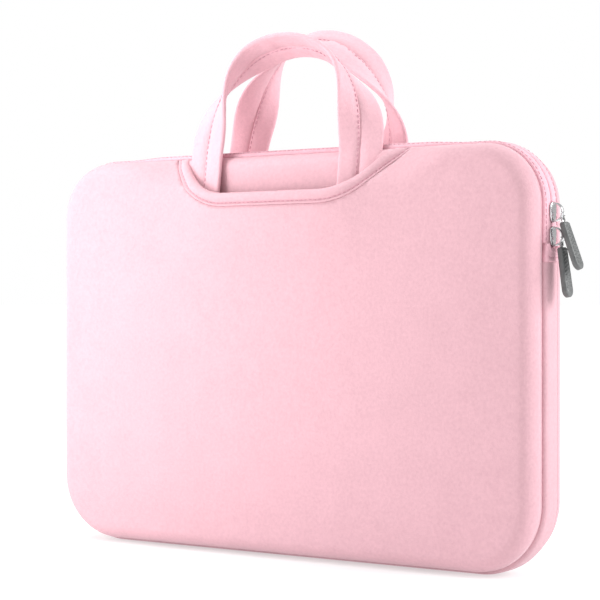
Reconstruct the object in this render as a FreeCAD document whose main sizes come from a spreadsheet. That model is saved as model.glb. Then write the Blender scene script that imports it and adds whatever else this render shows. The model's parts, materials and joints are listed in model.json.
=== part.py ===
import FreeCAD, Part
import math
import os

import Sketcher
from FreeCAD import Placement, Rotation, Vector

# A padded laptop sleeve that stands on its long edge: X is its width, Y its thickness with the
# front at -Y, and +Z is up. The origin is the middle of the flat base of the gusset.
# The two faces are stacks of layers: lining, foam, knit shell, and an outer pocket panel with a
# scooped mouth that the handle comes out of. A gusset joins the faces, and a zip closes the top.

DIMENSIONS = [
    # alias, value in mm or degrees
    ("seam_width", 350.0),          # outline where faces and gusset are sewn
    ("seam_height", 246.0),
    ("seam_base", 2.0),
    ("top_radius", 38.0),
    ("bottom_radius", 41.0),
    ("gusset_half", 8.0),           # half the width of the gusset, seam to seam
    ("gusset_bulge", 2.0),          # how far the gusset stands out from the seam outline
    ("gusset_inner", -0.5),
    ("gusset_lining_inner", -1.5),
    ("gusset_end_height", 186.5),   # where the gusset stops and the zip starts
    ("seam_tape_inner", -3.5),
    ("seam_tape_near", 6.5),
    ("fold_height", 187.0),         # the front folds forward along this line
    ("fold_gap", 0.15),
    ("layer_inset", -2.5),          # boards inside the pocket panel's rim
    ("layer_near", 8.2),
    ("lining_far", 9.2),
    ("foam_far", 12.2),
    ("shell_far", 14.2),
    ("panel_near", 8.3),
    ("panel_far", 22.0),
    ("panel_wall", 2.0),
    ("panel_round", 9.0),
    ("binding_proud", 0.8),
    ("binding_wall", 3.2),
    ("notch_flat_half", 34.4),      # scooped mouth: flat bottom and two quarter rounds
    ("notch_centre_height", 269.0),
    ("notch_radius", 53.0),
    ("notch_inner_radius", 45.0),
    ("notch_top", 256.0),
    ("tape_thick", 1.2),
    ("coil_inner", -1.0),
    ("coil_far", 3.3),
    ("slit_half", 1.3),
    ("zip_end_height", 187.5),
    ("tab_width", 14.0),
    ("tab_base", 178.6),
    ("tab_height", 9.0),
    ("tab_thick", 0.8),
    ("strap_width", 27.0),
    ("strap_thick", 3.0),
    ("core_width", 21.0),
    ("core_thick", 1.2),
    ("handle_pivot_depth", 16.2),
    ("handle_pivot_height", 247.0),
    ("leg_spacing_half", 57.5),
    ("front_handle_height", 72.0),
    ("rear_handle_height", 78.0),
    ("front_handle_lean", 8.8),
    ("rear_handle_lean", 13.0),
    ("arch_power", 2.3),
    ("twist_power", 0.9),
    ("anchor_near", 14.6),
    ("anchor_thick", 2.8),
    ("anchor_base", 219.0),
    ("anchor_height", 25.0),
    ("upper_slider_height", 207.6),
    ("lower_slider_height", 193.8),
    ("slider_length", 11.8),
    ("slider_width", 8.4),
    ("slider_plate_near", 176.7),
    ("slider_plate_far", 178.2),
    ("slider_wing_near", 169.8),
    ("slider_wing_far", 171.3),
    ("slider_wing_length", 9.6),
    ("slider_neck_length", 3.0),
    ("slider_neck_width", 1.8),
    ("bridge_outer", 5.6),
    ("bridge_inner", 4.5),
    ("bridge_width", 2.4),
    ("pull_pivot_out", 182.0),
    ("link_wire", 0.65),
    ("link_half_width", 3.2),
    ("link_length", 9.0),
    ("grip_start", 6.3),
    ("grip_length", 28.4),
    ("grip_width", 9.2),
    ("grip_thick", 4.2),
    ("grip_edge_round", 1.2),
    ("upper_pull_angle", 20.0),
    ("lower_pull_angle", 8.0),
]

FRONT = 1
REAR = -1
ARCH_STEPS = 11

doc = FreeCAD.newDocument("laptop_sleeve")
sheet = doc.addObject("Spreadsheet::Sheet", "Dims")
for row, (alias, size) in enumerate(DIMENSIONS, start=1):
    sheet.set(f"A{row}", alias)
    sheet.set(f"B{row}", str(size))
    sheet.setAlias(f"B{row}", alias)
doc.recompute()

sub_parts = []


def number(expression):
    """The present value of an expression such as "Dims.seam_width / 2"."""
    return float(sheet.evalExpression(expression))


def keep(piece, label):
    """Name a finished sub-part and put it on the list that is exported."""
    piece.Label = label
    sub_parts.append(piece)


# ---------------------------------------------------------------- sketches

def new_sketch(body, name, offset, role="XZ_Plane"):
    """A sketch parallel to one of the body's origin planes, offset along the plane's normal."""
    sketch = body.newObject("Sketcher::SketchObject", name)
    plane = next(item for item in body.Origin.OriginFeatures if item.Role == role)
    sketch.AttachmentSupport = [(plane, "")]
    sketch.MapMode = "FlatFace"
    sketch.setExpression("AttachmentOffset.Base.z", offset)
    return sketch


def dimension(sketch, kind, places, expression):
    """A dimensional constraint bound to an expression."""
    constraint = Sketcher.Constraint(kind, *places, number(expression))
    index = sketch.addConstraint(constraint)
    sketch.setExpression(f"Constraints[{index}]", expression)


def smooth_join(sketch, first, second):
    """Join the end of one edge to the start of the next with no corner."""
    sketch.addConstraint(Sketcher.Constraint("Tangent", first, 2, second, 1))


def corner_join(sketch, first, second):
    sketch.addConstraint(Sketcher.Constraint("Coincident", first, 2, second, 1))


def draw_line(sketch, start, end):
    return sketch.addGeometry(Part.LineSegment(Vector(*start, 0), Vector(*end, 0)))


def draw_arc(sketch, centre, radius, start_degrees, end_degrees):
    circle = Part.Circle(Vector(*centre, 0), Vector(0, 0, 1), radius)
    arc = Part.ArcOfCircle(circle, math.radians(start_degrees), math.radians(end_degrees))
    return sketch.addGeometry(arc)


def draw_outline(sketch, reach):
    """The sleeve's rounded outline, moved outward from the seam by the expression reach."""
    half_width = f"Dims.seam_width / 2 + ({reach})"
    low = f"Dims.seam_base - ({reach})"
    high = f"Dims.seam_base + Dims.seam_height + ({reach})"
    top_round = f"Dims.top_radius + ({reach})"
    bottom_round = f"Dims.bottom_radius + ({reach})"
    edge = number(half_width)
    floor = number(low)
    roof = number(high)
    upper = number(top_round)
    lower = number(bottom_round)

    bottom = draw_line(sketch, (lower - edge, floor), (edge - lower, floor))
    low_right = draw_arc(sketch, (edge - lower, floor + lower), lower, -90, 0)
    right = draw_line(sketch, (edge, floor + lower), (edge, roof - upper))
    high_right = draw_arc(sketch, (edge - upper, roof - upper), upper, 0, 90)
    top = draw_line(sketch, (edge - upper, roof), (upper - edge, roof))
    high_left = draw_arc(sketch, (upper - edge, roof - upper), upper, 90, 180)
    left = draw_line(sketch, (-edge, roof - upper), (-edge, floor + lower))
    low_left = draw_arc(sketch, (lower - edge, floor + lower), lower, 180, 270)

    loop = [bottom, low_right, right, high_right, top, high_left, left, low_left]
    for first, second in zip(loop, loop[1:] + loop[:1]):
        smooth_join(sketch, first, second)
    for flat in (bottom, top):
        sketch.addConstraint(Sketcher.Constraint("Horizontal", flat))
    for upright in (left, right):
        sketch.addConstraint(Sketcher.Constraint("Vertical", upright))
    for corner in (high_left, high_right):
        dimension(sketch, "Radius", (corner,), top_round)
    for corner in (low_left, low_right):
        dimension(sketch, "Radius", (corner,), bottom_round)
    dimension(sketch, "DistanceX", (-1, 1, right, 1), half_width)
    dimension(sketch, "DistanceX", (left, 1, -1, 1), half_width)
    dimension(sketch, "DistanceY", (-1, 1, bottom, 1), low)
    dimension(sketch, "DistanceY", (-1, 1, top, 1), high)


def draw_box(sketch, half_width, low, high):
    """A rectangle centred on the sketch's upright axis."""
    edge = number(half_width)
    floor = number(low)
    roof = number(high)
    corners = [(-edge, floor), (edge, floor), (edge, roof), (-edge, roof)]
    sides = [draw_line(sketch, *ends) for ends in zip(corners, corners[1:] + corners[:1])]
    bottom, right, top, left = sides
    for first, second in zip(sides, sides[1:] + sides[:1]):
        corner_join(sketch, first, second)
    for flat in (bottom, top):
        sketch.addConstraint(Sketcher.Constraint("Horizontal", flat))
    for upright in (left, right):
        sketch.addConstraint(Sketcher.Constraint("Vertical", upright))
    dimension(sketch, "DistanceX", (-1, 1, right, 1), half_width)
    dimension(sketch, "DistanceX", (left, 1, -1, 1), half_width)
    dimension(sketch, "DistanceY", (-1, 1, bottom, 1), low)
    dimension(sketch, "DistanceY", (-1, 1, top, 1), high)


def draw_notch(sketch, radius):
    """The scooped mouth: a flat bottom between two rounds that climb to the top edge."""
    flat_half = "Dims.notch_flat_half"
    floor = f"Dims.notch_centre_height - {radius}"
    reach = number(flat_half)
    centre = number("Dims.notch_centre_height")
    size = number(radius)
    roof = number("Dims.notch_top")
    climb = math.degrees(math.asin((roof - centre) / size))
    out = reach + size * math.cos(math.radians(climb))

    bottom = draw_line(sketch, (-reach, centre - size), (reach, centre - size))
    right = draw_arc(sketch, (reach, centre), size, -90, climb)
    top = draw_line(sketch, (out, roof), (-out, roof))
    left = draw_arc(sketch, (-reach, centre), size, 180 - climb, 270)
    smooth_join(sketch, bottom, right)
    corner_join(sketch, right, top)
    corner_join(sketch, top, left)
    smooth_join(sketch, left, bottom)
    for flat in (bottom, top):
        sketch.addConstraint(Sketcher.Constraint("Horizontal", flat))
    for round_side in (left, right):
        dimension(sketch, "Radius", (round_side,), radius)
    dimension(sketch, "DistanceX", (-1, 1, right, 3), flat_half)
    dimension(sketch, "DistanceX", (left, 3, -1, 1), flat_half)
    dimension(sketch, "DistanceY", (-1, 1, bottom, 1), floor)
    dimension(sketch, "DistanceY", (-1, 1, top, 1), "Dims.notch_top")


# ---------------------------------------------------------------- layers of the faces

class Layer:
    """One sewn layer, padded outward from the mid plane on the front or the rear side."""

    def __init__(self, name, side, near, far, reach):
        self.name = name
        self.side = side
        self.near = near
        self.far = far
        self.body = doc.addObject("PartDesign::Body", name + "_body")
        sketch = new_sketch(self.body, name + "_outline", f"{side} * ({near})")
        draw_outline(sketch, reach)
        self.pad = self.body.newObject("PartDesign::Pad", name + "_pad")
        self.pad.Profile = sketch
        self.pad.Reversed = side == REAR
        self.pad.setExpression("Length", f"({far}) - ({near})")
        doc.recompute()

    def pocket(self, purpose, near, depth, draw):
        """Cut outward from a plane at the distance near; draw fills in the sketch."""
        before = self.body.Shape.Volume
        sketch = new_sketch(self.body, f"{self.name}_{purpose}", f"{self.side} * ({near})")
        draw(sketch)
        cut = self.body.newObject("PartDesign::Pocket", f"{self.name}_{purpose}_cut")
        cut.Profile = sketch
        cut.Reversed = self.side == FRONT
        cut.setExpression("Length", depth)
        doc.recompute()
        if not self.body.Shape.Volume < before - 1e-3:
            raise RuntimeError(f"{self.name}: the {purpose} pocket cut nothing")

    def through(self, purpose, draw):
        """Cut through the whole layer."""
        self.pocket(purpose, f"({self.near}) - 1", f"({self.far}) - ({self.near}) + 2", draw)

    def round_rim(self, purpose, distance, radius):
        """Round the edges that lie in the plane at this distance from the mid plane."""
        place = -self.side * number(distance)
        shape = self.body.Shape
        rim = [
            f"Edge{index}"
            for index, edge in enumerate(shape.Edges, start=1)
            if all(abs(point.Y - place) < 1e-4 for point in edge.Vertexes)
        ]
        base = self.body.Tip
        fillet = self.body.newObject("PartDesign::Fillet", f"{self.name}_{purpose}")
        fillet.Base = (base, rim)
        fillet.setExpression("Radius", radius)
        doc.recompute()

    def keep_above(self, height):
        self.through("fold", lambda sketch: draw_box(sketch, "400", "-20", height))

    def keep_below(self, height):
        self.through("fold", lambda sketch: draw_box(sketch, "400", height, "400"))

    def keep(self):
        keep(self.body, self.name)


ABOVE_FOLD = "Dims.fold_height + Dims.fold_gap"
BELOW_FOLD = "Dims.fold_height - Dims.fold_gap"


def split_by_fold(build, name):
    """The front of the sleeve folds, so a front layer is two pieces and a rear layer is one."""
    upper = build(f"front_{name}_upper", FRONT)
    upper.keep_above(ABOVE_FOLD)
    upper.keep()
    lower = build(f"front_{name}_lower", FRONT)
    lower.keep_below(BELOW_FOLD)
    lower.keep()
    build(f"rear_{name}", REAR).keep()


def lining(name, side):
    """Smooth cloth that touches the laptop."""
    return Layer(name, side, "Dims.layer_near", "Dims.lining_far", "Dims.layer_inset")


def foam_board(name, side):
    """The shock-absorbing foam."""
    return Layer(name, side, "Dims.lining_far", "Dims.foam_far", "Dims.layer_inset")


def body_shell(name, side):
    """The knit-faced shell, which shows inside the scooped mouth."""
    return Layer(name, side, "Dims.foam_far", "Dims.shell_far", "Dims.layer_inset")


def pocket_panel(name, side):
    """The outer panel: a shallow tray with a round rim, open at the scooped mouth."""
    layer = Layer(name, side, "Dims.panel_near", "Dims.panel_far", "0")
    hollow_depth = "Dims.panel_far - Dims.panel_wall - Dims.panel_near"
    layer.pocket("hollow", layer.near, hollow_depth, lambda s: draw_outline(s, "-Dims.panel_wall"))
    layer.round_rim("inner_round", "Dims.panel_far - Dims.panel_wall",
                    "Dims.panel_round - Dims.panel_wall")
    layer.round_rim("outer_round", "Dims.panel_far", "Dims.panel_round")
    layer.through("mouth", lambda sketch: draw_notch(sketch, "Dims.notch_radius"))
    return layer


def pocket_binding(name, side):
    """The padded binding round the scooped mouth, a little proud of the panel."""
    proud = "Dims.binding_proud"
    far = "Dims.panel_far + Dims.binding_proud"
    layer = Layer(name, side, "Dims.panel_near", far, proud)
    inner_reach = "Dims.binding_proud - Dims.binding_wall"
    hollow_depth = f"{far} - Dims.binding_wall - Dims.panel_near"
    layer.pocket("hollow", layer.near, hollow_depth, lambda s: draw_outline(s, inner_reach))
    outer_round = "Dims.panel_round + Dims.binding_proud"
    layer.round_rim("inner_round", f"{far} - Dims.binding_wall",
                    f"{outer_round} - Dims.binding_wall")
    layer.round_rim("outer_round", far, outer_round)
    layer.through("mouth", lambda sketch: draw_notch(sketch, "Dims.notch_inner_radius"))

    def all_but_the_strip(sketch):
        draw_box(sketch, "400", "-20", "400")
        draw_notch(sketch, "Dims.notch_radius")

    layer.through("trim", all_but_the_strip)
    layer.keep()


def ring(name, side, near, far, outer, inner):
    """A band that follows the outline, between two distances from the seam."""
    layer = Layer(name, side, near, far, outer)
    layer.through("inside", lambda sketch: draw_outline(sketch, inner))
    return layer


def seam_tape(name, side):
    """Bias tape that covers the raw seam inside the compartment."""
    return ring(name, side, "Dims.seam_tape_near", "Dims.gusset_half",
                "Dims.gusset_lining_inner", "Dims.seam_tape_inner")


def gusset():
    """The strip that joins the faces along the bottom and the lower sides, and its lining."""
    near = "-Dims.gusset_half"
    far = "Dims.gusset_half"
    band = ring("gusset_band", FRONT, near, far, "Dims.gusset_bulge", "Dims.gusset_inner")
    inside = ring("gusset_lining", FRONT, near, far, "Dims.gusset_inner",
                  "Dims.gusset_lining_inner")
    for layer in (band, inside):
        layer.keep_below("Dims.gusset_end_height")
        layer.keep()


def zip_chain(side_name, side):
    """One half of the zip: its tape, and the coil sewn to the tape's inner edge."""
    slit = "Dims.slit_half"
    tape = ring(f"{side_name}_zip_tape", side, slit, "Dims.gusset_half", "Dims.tape_thick", "0")
    coil = ring(f"{side_name}_zip_coil", side, slit, "Dims.coil_far", "0", "Dims.coil_inner")
    for layer in (tape, coil):
        layer.keep_above("Dims.zip_end_height")
        layer.keep()


# ---------------------------------------------------------------- primitives

def box(name, lengths, place):
    """A Part::Box; lengths and place are expressions for X, Y and Z."""
    solid = doc.addObject("Part::Box", name)
    for side, length in zip(("Length", "Width", "Height"), lengths):
        solid.setExpression(side, length)
    for axis, position in zip("xyz", place):
        solid.setExpression(f"Placement.Base.{axis}", position)
    return solid


def rod(name, radius, length, place, direction):
    """A Part::Cylinder that starts at place and runs along direction."""
    solid = doc.addObject("Part::Cylinder", name)
    solid.Placement = Placement(Vector(), Rotation(Vector(0, 0, 1), direction))
    solid.setExpression("Radius", radius)
    solid.setExpression("Height", length)
    for axis, position in zip("xyz", place):
        solid.setExpression(f"Placement.Base.{axis}", position)
    return solid


def ball(name, radius, place):
    solid = doc.addObject("Part::Sphere", name)
    solid.setExpression("Radius", radius)
    for axis, position in zip("xyz", place):
        solid.setExpression(f"Placement.Base.{axis}", position)
    return solid


def fuse(name, pieces):
    union = doc.addObject("Part::MultiFuse", name)
    union.Shapes = pieces
    return union


def combine(kind, name, base, tool):
    """A Part::Cut or a Part::Common of two objects."""
    result = doc.addObject(kind, name)
    result.Base = base
    result.Tool = tool
    return result


def zip_end_tab(side_name, sign):
    """A folded tab sewn over the end of the zip, on the outside of the gusset."""
    outer = "Dims.seam_width / 2 + Dims.gusset_bulge"
    start = outer if sign > 0 else f"-({outer}) - Dims.tab_thick"
    tab = box(f"{side_name}_tab", ("Dims.tab_thick", "Dims.tab_width", "Dims.tab_height"),
              (start, "-Dims.tab_width / 2", "Dims.tab_base"))
    keep(tab, f"{side_name}_zip_end_tab")


# ---------------------------------------------------------------- handles

def arch_point(fraction, height):
    """A point of the arch in the handle's own plane, from -1 (left foot) to 1 (right foot)."""
    power = 2 / number("Dims.arch_power")
    turn = math.radians(90 * (1 - abs(fraction)))
    across = number("Dims.leg_spacing_half") * math.cos(turn) ** power
    return math.copysign(across, fraction), height * math.sin(turn) ** power


def strap_section(fraction, side, height, width, thick):
    """A rectangle across the strap, which turns from flat at a foot to edge-on at the top."""
    step = 0.01
    ahead = arch_point(max(fraction - step, -1), height)
    behind = arch_point(min(fraction + step, 1), height)
    run = Vector(ahead[0] - behind[0], 0, ahead[1] - behind[1]).normalize()
    outward = Vector(-run.z, 0, run.x) * -1
    twist = math.radians(90 * (1 - abs(fraction)) ** number("Dims.twist_power"))
    across = outward * math.cos(twist) + Vector(0, side, 0) * math.sin(twist)
    through = run.cross(across)
    x, z = arch_point(fraction, height)
    corners = [
        Vector(x, 0, z) + across * (a * width / 2) + through * (b * thick / 2)
        for a, b in ((-1, -1), (1, -1), (1, 1), (-1, 1))
    ]
    return Part.makePolygon(corners + corners[:1])


def strap_loft(side, height, width, thick):
    """The arched strap, upright, with its feet at Z = 0."""
    steps = range(-ARCH_STEPS, ARCH_STEPS + 1)
    sections = [strap_section(step / ARCH_STEPS, side, height, width, thick) for step in steps]
    return Part.makeLoft(sections, True, True)


def handle(side_name, side):
    """A carry handle: a sewn sleeve of knit round a webbing core, leaning to the rear."""
    height = number(f"Dims.{side_name}_handle_height")
    sleeve = strap_loft(side, height, number("Dims.strap_width"), number("Dims.strap_thick"))
    core = strap_loft(side, height, number("Dims.core_width"), number("Dims.core_thick"))
    place = Placement(
        Vector(0, -side * number("Dims.handle_pivot_depth"), number("Dims.handle_pivot_height")),
        Rotation(Vector(1, 0, 0), -number(f"Dims.{side_name}_handle_lean")),
    )
    for label, shape in (
        (f"{side_name}_handle_strap", sleeve.cut(core)),
        (f"{side_name}_handle_core", core),
    ):
        piece = doc.addObject("Part::Feature", label + "_shape")
        piece.Shape = shape
        piece.Placement = place
        keep(piece, label)


def handle_anchors(side_name, side):
    """The sewn ends of the handle, stitched flat to the shell below the mouth's edge."""
    near = "Dims.anchor_near"
    depth = f"-{near} - Dims.anchor_thick" if side == FRONT else near
    ends = [
        box(f"{side_name}_anchor_{word}",
            ("Dims.strap_width", "Dims.anchor_thick", "Dims.anchor_height"),
            (f"{sign} * Dims.leg_spacing_half - Dims.strap_width / 2", depth, "Dims.anchor_base"))
        for word, sign in (("left", -1), ("right", 1))
    ]
    keep(fuse(f"{side_name}_anchor_pair", ends), f"{side_name}_handle_anchors")


# ---------------------------------------------------------------- zip sliders and pulls

def slider_plate(name, near, far, width, length, height):
    """A flat plate across the zip, centred on the slider's height."""
    return box(name, (f"{far} - {near}", width, length),
               (near, f"-{width} / 2", f"{height} - {length} / 2"))


def slider(which):
    """The slider's outer plate, the neck between the two chains, and the inner wing."""
    height = f"Dims.{which}_slider_height"
    outer = slider_plate(f"{which}_outer_plate", "Dims.slider_plate_near",
                         "Dims.slider_plate_far", "Dims.slider_width", "Dims.slider_length",
                         height)
    wing = slider_plate(f"{which}_wing", "Dims.slider_wing_near", "Dims.slider_wing_far",
                        "Dims.slider_width", "Dims.slider_wing_length", height)
    neck = slider_plate(f"{which}_neck", "Dims.slider_wing_far", "Dims.slider_plate_near",
                        "Dims.slider_neck_width", "Dims.slider_neck_length", height)
    keep(fuse(f"{which}_slider_fuse", [outer, neck, wing]), f"{which}_slider_body")


def slider_bridge(which):
    """The arched bar on the slider that the pull's link hangs from."""
    height = f"Dims.{which}_slider_height"
    place = ("Dims.slider_plate_far", "Dims.bridge_width / 2", height)
    along = Vector(0, -1, 0)
    disc = rod(f"{which}_bridge_disc", "Dims.bridge_outer", "Dims.bridge_width", place, along)
    eye = rod(f"{which}_bridge_eye", "Dims.bridge_inner", "Dims.bridge_width", place, along)
    hoop = combine("Part::Cut", f"{which}_bridge_hoop", disc, eye)
    outside = box(f"{which}_bridge_half", ("20", "20", "20"),
                  ("Dims.slider_plate_far", "-10", f"{height} - 10"))
    keep(combine("Part::Common", f"{which}_bridge_arch", hoop, outside), f"{which}_slider_bridge")


def hang(piece, which):
    """Turn a piece that is built hanging straight down from the origin, and put it in place."""
    angle = number(f"Dims.{which}_pull_angle")
    piece.Placement = Placement(Vector(), Rotation(Vector(0, -1, 0), angle))
    piece.setExpression("Placement.Base.x", "Dims.pull_pivot_out")
    piece.setExpression("Placement.Base.z", f"Dims.{which}_slider_height")


def pull_link(which, purpose):
    """A closed wire link, built hanging straight down from the bridge."""
    wire = "Dims.link_wire"
    half = "Dims.link_half_width"
    pieces = []
    for word, height in (("top", "0"), ("end", "-Dims.link_length")):
        pieces.append(rod(f"{which}_{purpose}_{word}", wire, f"2 * {half}",
                          ("0", f"-{half}", height), Vector(0, 1, 0)))
    for word, sign in (("left", -1), ("right", 1)):
        across = f"{sign} * {half}"
        pieces.append(rod(f"{which}_{purpose}_{word}", wire, "Dims.link_length",
                          ("0", across, "-Dims.link_length"), Vector(0, 0, 1)))
        for level, height in (("top", "0"), ("end", "-Dims.link_length")):
            pieces.append(ball(f"{which}_{purpose}_{word}_{level}_bend", wire,
                               ("0", across, height)))
    return fuse(f"{which}_{purpose}_wire", pieces)


def draw_grip(sketch):
    """Straight sides and a full round lower end, hanging below the sketch's origin."""
    half = number("Dims.grip_width / 2")
    top = -number("Dims.grip_start")
    low = top - number("Dims.grip_length") + half
    roof = draw_line(sketch, (half, top), (-half, top))
    left = draw_line(sketch, (-half, top), (-half, low))
    end = draw_arc(sketch, (0, low), half, 180, 360)
    right = draw_line(sketch, (half, low), (half, top))
    corner_join(sketch, roof, left)
    smooth_join(sketch, left, end)
    smooth_join(sketch, end, right)
    corner_join(sketch, right, roof)
    sketch.addConstraint(Sketcher.Constraint("Horizontal", roof))
    sketch.addConstraint(Sketcher.Constraint("Vertical", left))
    sketch.addConstraint(Sketcher.Constraint("Vertical", right))
    dimension(sketch, "DistanceX", (-1, 1, right, 1), "Dims.grip_width / 2")
    dimension(sketch, "DistanceX", (left, 1, -1, 1), "Dims.grip_width / 2")
    dimension(sketch, "DistanceY", (roof, 1, -1, 1), "Dims.grip_start")
    dimension(sketch, "DistanceY", (end, 3, roof, 1), "Dims.grip_length - Dims.grip_width / 2")


def grip_blank(which):
    """The moulded grip before the link's slot is cut into it."""
    body = doc.addObject("PartDesign::Body", f"{which}_grip_body")
    sketch = new_sketch(body, f"{which}_grip_outline", "-Dims.grip_thick / 2", "YZ_Plane")
    draw_grip(sketch)
    pad = body.newObject("PartDesign::Pad", f"{which}_grip_pad")
    pad.Profile = sketch
    pad.setExpression("Length", "Dims.grip_thick")
    doc.recompute()
    rim = [
        f"Edge{index}"
        for index, edge in enumerate(pad.Shape.Edges, start=1)
        if len({round(point.X, 4) for point in edge.Vertexes}) == 1
    ]
    fillet = body.newObject("PartDesign::Fillet", f"{which}_grip_round")
    fillet.Base = (pad, rim)
    fillet.setExpression("Radius", "Dims.grip_edge_round")
    return body


def pull(which):
    """The metal link and the rubber grip moulded over its lower end."""
    link = pull_link(which, "link")
    slot = pull_link(which, "slot")
    grip = combine("Part::Cut", f"{which}_grip_cut", grip_blank(which), slot)
    for piece, label in ((link, f"{which}_pull_link"), (grip, f"{which}_pull_grip")):
        hang(piece, which)
        keep(piece, label)


# ---------------------------------------------------------------- the whole sleeve

split_by_fold(lining, "lining")
split_by_fold(foam_board, "foam")
split_by_fold(body_shell, "shell")
split_by_fold(pocket_panel, "pocket_panel")
split_by_fold(seam_tape, "seam_tape")
gusset()
for end_name, end_sign in (("left", -1), ("right", 1)):
    zip_end_tab(end_name, end_sign)
for face_name, face_side in (("front", FRONT), ("rear", REAR)):
    pocket_binding(f"{face_name}_pocket_binding", face_side)
    zip_chain(face_name, face_side)
    handle(face_name, face_side)
    handle_anchors(face_name, face_side)
for slider_name in ("upper", "lower"):
    slider(slider_name)
    slider_bridge(slider_name)
    pull(slider_name)
doc.recompute()

for item in doc.Objects:
    if {"Invalid", "Error"} & set(item.State):
        raise RuntimeError(f"{item.Name} failed: {item.State}")
for piece in sub_parts:
    if piece.Shape.isNull() or not piece.Shape.isValid():
        raise RuntimeError(f"{piece.Label} has no valid shape")

os.makedirs("parts", exist_ok=True)
for piece in sub_parts:
    piece.Shape.exportStep(f"parts/{piece.Label}.step")
    print(f"{piece.Label:28s} solids {len(piece.Shape.Solids)}  volume {piece.Shape.Volume:9.0f}")
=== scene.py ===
import json
import math

import bmesh
import bpy
import numpy as np
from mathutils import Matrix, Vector, geometry, noise


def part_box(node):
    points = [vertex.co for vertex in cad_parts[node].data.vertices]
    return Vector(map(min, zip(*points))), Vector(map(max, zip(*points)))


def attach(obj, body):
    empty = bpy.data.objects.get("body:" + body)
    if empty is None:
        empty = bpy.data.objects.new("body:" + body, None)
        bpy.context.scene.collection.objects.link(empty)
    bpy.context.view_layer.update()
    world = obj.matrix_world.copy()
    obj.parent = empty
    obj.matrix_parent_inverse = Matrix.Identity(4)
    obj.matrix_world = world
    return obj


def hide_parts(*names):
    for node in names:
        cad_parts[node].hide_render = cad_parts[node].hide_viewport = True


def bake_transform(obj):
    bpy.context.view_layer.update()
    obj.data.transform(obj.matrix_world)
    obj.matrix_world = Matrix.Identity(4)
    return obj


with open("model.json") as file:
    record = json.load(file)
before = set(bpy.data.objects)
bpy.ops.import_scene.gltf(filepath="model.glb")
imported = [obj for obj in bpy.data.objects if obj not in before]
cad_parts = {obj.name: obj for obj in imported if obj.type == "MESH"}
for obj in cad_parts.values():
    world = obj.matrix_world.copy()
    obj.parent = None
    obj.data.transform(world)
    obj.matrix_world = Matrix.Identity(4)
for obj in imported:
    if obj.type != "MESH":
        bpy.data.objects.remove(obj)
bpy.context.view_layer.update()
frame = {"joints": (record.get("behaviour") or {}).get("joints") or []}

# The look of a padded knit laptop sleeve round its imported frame. Shapes are worked out in
# millimetres, in the frame's own axes (front at -Y, up +Z), and become metres in add_mesh.

MM = 0.001
FRONT = -1
REAR = 1


def node_box(node):
    """The lowest and highest corner of a CAD node, in millimetres."""
    low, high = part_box(node)
    return np.array(low) / MM, np.array(high) / MM


# ---------------------------------------------------------------- driving dimensions, mm

panel_low, panel_high = node_box("rear_pocket_panel")
foam_low, foam_high = node_box("rear_foam")
lining_low, lining_high = node_box("rear_lining")
tab_low, tab_high = node_box("right_zip_end_tab")

# the seam outline, which the rims of all layers follow
HALF_WIDTH = panel_high[0]
SEAM_LOW = panel_low[2]
SEAM_HIGH = panel_high[2]
SEAM_DEPTH = lining_low[1] - 0.2        # half the gusset's width
TOP_ROUND = 36.0                        # radii of its corners
BOTTOM_ROUND = 41.0
RIM_STEP = 2.4                          # spacing of the mesh along it

# distance of each face from the mid plane
PANEL_DEPTH = panel_high[1]
SHELL_DEPTH = node_box("rear_shell")[1][1]

# the scooped mouth: a straight bottom between two round ends that sweep out at the top
NOTCH_FLAT = 34.4                       # half its straight run
NOTCH_CENTRE = 269.0                    # height of the centres of its round ends
NOTCH_ROUND = 53.0
NOTCH_FLARE_LEFT = 1.5
NOTCH_FLARE_RIGHT = 7.0
FLARE_HEIGHT = 18.0                     # how far below the top edge the sweep starts

# the handles
PIVOT_HEIGHT = 247.0
STRAP_WIDTH = 27.4
STRAP_THICK = 3.0


# ---------------------------------------------------------------- mesh helpers

def add_mesh(name, points, faces, material, smooth=True):
    """A mesh object from points in millimetres."""
    mesh = bpy.data.meshes.new(name)
    mesh.from_pydata((np.asarray(points, float) * MM).tolist(), [], [list(f) for f in faces])
    mesh.update()
    mesh.polygons.foreach_set("use_smooth", [smooth] * len(mesh.polygons))
    mesh.materials.append(material)
    piece = bpy.data.objects.new(name, mesh)
    bpy.context.scene.collection.objects.link(piece)
    return piece


def apply_modifiers(piece):
    """Replace the piece's mesh by its mesh with every modifier applied."""
    bpy.context.view_layer.update()
    depsgraph = bpy.context.evaluated_depsgraph_get()
    mesh = bpy.data.meshes.new_from_object(piece.evaluated_get(depsgraph))
    piece.modifiers.clear()
    piece.data = mesh
    return piece


def face_outward(piece):
    """Make every face of a closed piece point outward."""
    work = bmesh.new()
    work.from_mesh(piece.data)
    bmesh.ops.recalc_face_normals(work, faces=work.faces)
    work.to_mesh(piece.data)
    work.free()
    return piece


def grid_faces(rows, columns, close_rows=False, close_columns=False):
    """Quads over a rows x columns grid of points."""
    faces = []
    for i in range(rows if close_rows else rows - 1):
        for j in range(columns if close_columns else columns - 1):
            this_row = i * columns
            next_row = (i + 1) % rows * columns
            next_j = (j + 1) % columns
            faces.append((this_row + j, next_row + j, next_row + next_j, this_row + next_j))
    return faces


def tube(name, sections, material, closed=False):
    """A closed skin over cross-sections that each have the same number of points."""
    sections = np.asarray(sections, float)
    rows, columns, _ = sections.shape
    faces = grid_faces(rows, columns, close_rows=closed, close_columns=True)
    if not closed:
        faces.append(tuple(range(columns)))
        faces.append(tuple((rows - 1) * columns + j for j in reversed(range(columns))))
    return face_outward(add_mesh(name, sections.reshape(-1, 3), faces, material))


def smoothstep(low, high, value):
    """0 below low, 1 above high, and a smooth climb between them."""
    share = np.clip((value - low) / (high - low), 0, 1)
    return share * share * (3 - 2 * share)


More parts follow.
